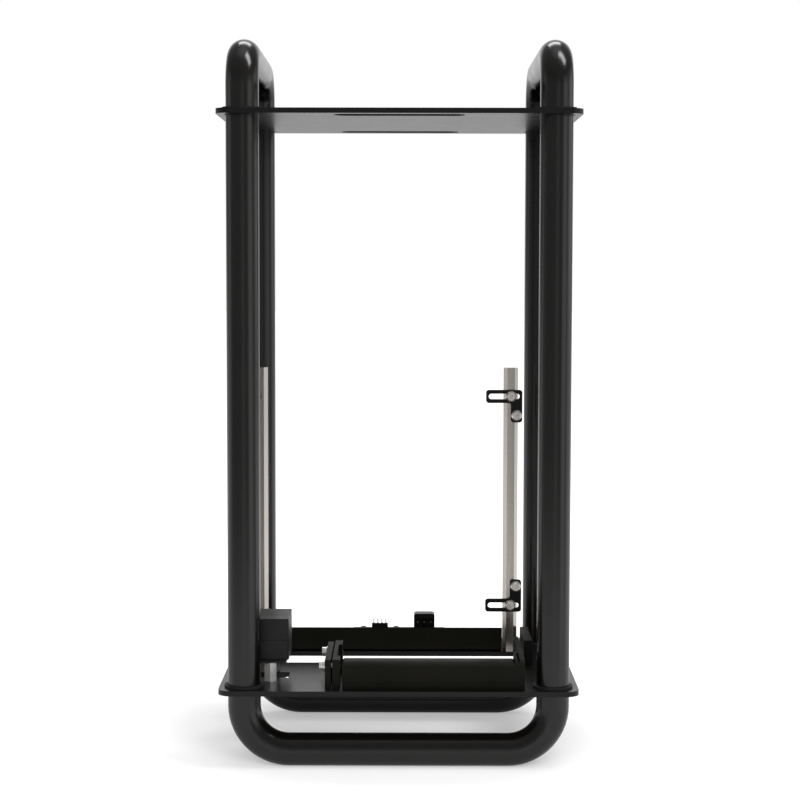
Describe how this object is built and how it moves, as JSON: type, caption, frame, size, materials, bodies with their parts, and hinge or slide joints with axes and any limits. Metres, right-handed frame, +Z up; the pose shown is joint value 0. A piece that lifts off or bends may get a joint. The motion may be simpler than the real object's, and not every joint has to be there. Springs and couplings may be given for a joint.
{
  "type": "mini-itx computer case",
  "caption": "Upright open-frame computer case: a closed loop of black bent tube with two flat plates, board posts, brackets and a card cage.",
  "frame": {"origin": "on the floor under the middle of the tube frame", "axes": "+Z up, -Y towards the front with the card cage, +X towards the side with the slotted brackets"},
  "size_m": [0.208, 0.161, 0.42],
  "materials": {
    "tube_black": "satin",
    "plate_black": "satin",
    "cage_black": "satin",
    "bracket_black": "matte",
    "guide_black": "matte",
    "inlet_plastic": "matte",
    "ring_rubber": "matte",
    "post_nickel": "satin",
    "screw_nickel": "satin",
    "bright_steel": "polished",
    "dark_screw": "satin",
    "board_dark": "satin",
    "socket_plastic": "matte",
    "contact_brass": "polished"
  },
  "bodies": {
    "root": {"tube_frame": "tube_black", "upper_plate": "plate_black", "lower_plate": "plate_black", "upper_rings": "ring_rubber", "lower_rings": "ring_rubber", "left_post": "post_nickel", "right_post": "post_nickel", "post_screws": "bright_steel", "upper_bracket": "bracket_black", "lower_bracket": "bracket_black", "slot_screws": "screw_nickel", "leg_screws": "screw_nickel", "rear_rail": "cage_black", "rail_screws": "dark_screw", "panel_board": "board_dark", "panel_screws": "screw_nickel", "header_base": "socket_plastic", "header_pins": "contact_brass", "panel_socket": "socket_plastic", "socket_pins": "contact_brass", "front_bar": "cage_black", "right_arm": "cage_black", "fixed_jaw": "cage_black", "clamp": "cage_black", "clamp_screws": "bright_steel", "clamp_washers": "bright_steel", "slot_blank": "plate_black", "blank_screws": "dark_screw", "left_guide": "guide_black", "right_guide": "guide_black", "deck_screws": "dark_screw", "inlet_base": "inlet_plastic", "inlet_cover": "inlet_plastic", "inlet_blades": "contact_brass", "inlet_standoffs": "bright_steel", "standoff_screws": "bright_steel"}
  },
  "joints": []
}
